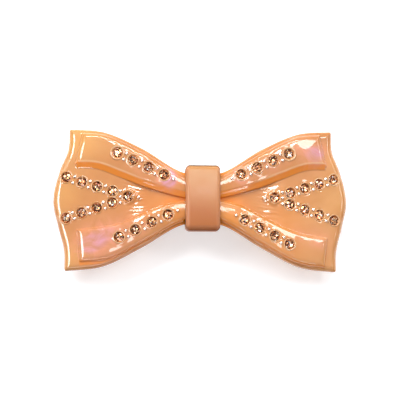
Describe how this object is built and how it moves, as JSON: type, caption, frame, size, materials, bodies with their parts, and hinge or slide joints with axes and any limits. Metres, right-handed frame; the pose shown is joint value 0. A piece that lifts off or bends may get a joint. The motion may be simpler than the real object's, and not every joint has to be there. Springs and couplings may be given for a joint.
{
  "type": "hair barrette",
  "caption": "Arched moulded bow hair barrette with a knot band, crystals set in rows among ball-headed pins, and a hinged spring clip with a squeeze catch on the back.",
  "frame": {"origin": "Centre of the bounding box at its lowest face, on the surface that the closed clip lies on.", "axes": "+X along the bow, from the clip's hinge to its catch. +Y across the bow. +Z out of the bow's front, away from the hair."},
  "size_m": [0.0962, 0.0467, 0.018],
  "materials": {
    "bow_plastic": "clear-lacquered, pearlescent",
    "band_plastic": "satin",
    "crystal_glass": "faceted, foil-backed",
    "pin_metal": "polished",
    "clip_steel": "nickel-plated",
    "spring_steel": "nickel-plated",
    "rivet_metal": "polished"
  },
  "bodies": {
    "bow": {"bow_body": "bow_plastic", "knot_band": "band_plastic", "crystals_fold_upper_left": "crystal_glass", "crystals_fold_lower_left": "crystal_glass", "crystals_fold_upper_right": "crystal_glass", "crystals_fold_lower_right": "crystal_glass", "crystals_wing_upper_left": "crystal_glass", "crystals_wing_lower_left": "crystal_glass", "crystals_wing_upper_right": "crystal_glass", "crystals_wing_lower_right": "crystal_glass", "setting_pins_fold_upper_left": "pin_metal", "setting_pins_fold_lower_left": "pin_metal", "setting_pins_fold_upper_right": "pin_metal", "setting_pins_fold_lower_right": "pin_metal", "setting_pins_wing_upper_left": "pin_metal", "setting_pins_wing_lower_left": "pin_metal", "setting_pins_wing_upper_right": "pin_metal", "setting_pins_wing_lower_right": "pin_metal", "clip_base": "clip_steel", "fixing_rivets": "rivet_metal", "hinge_pin": "rivet_metal", "catch_saddle": "spring_steel", "catch_rivet": "rivet_metal"},
    "clasp_arm": {"clasp_arm": "clip_steel"},
    "tension_bar": {"tension_bar": "spring_steel"},
    "jaw_back": {"catch_jaw_back": "spring_steel"},
    "jaw_front": {"catch_jaw_front": "spring_steel"}
  },
  "joints": [
    {"name": "clasp_arm_open", "type": "hinge", "parent": "bow", "child": "clasp_arm", "pos_m": [-0.037, 0, 0.0019], "axis": [0, 1, 0], "range_deg": [0, 80]},
    {"name": "tension_bar_flex", "type": "hinge", "parent": "bow", "child": "tension_bar", "pos_m": [-0.0343, 0, 0.0066], "axis": [0, -1, 0], "range_deg": [0, 1.3], "stiffness_Nm_per_rad": 0.8},
    {"name": "jaw_back_squeeze", "type": "hinge", "parent": "bow", "child": "jaw_back", "pos_m": [0.0353, 0.00245, 0.00545], "axis": [-1, 0, 0], "range_deg": [0, 8], "stiffness_Nm_per_rad": 0.1},
    {"name": "jaw_front_squeeze", "type": "hinge", "parent": "bow", "child": "jaw_front", "pos_m": [0.0353, -0.00245, 0.00545], "axis": [1, 0, 0], "range_deg": [0, 8], "stiffness_Nm_per_rad": 0.1}
  ]
}
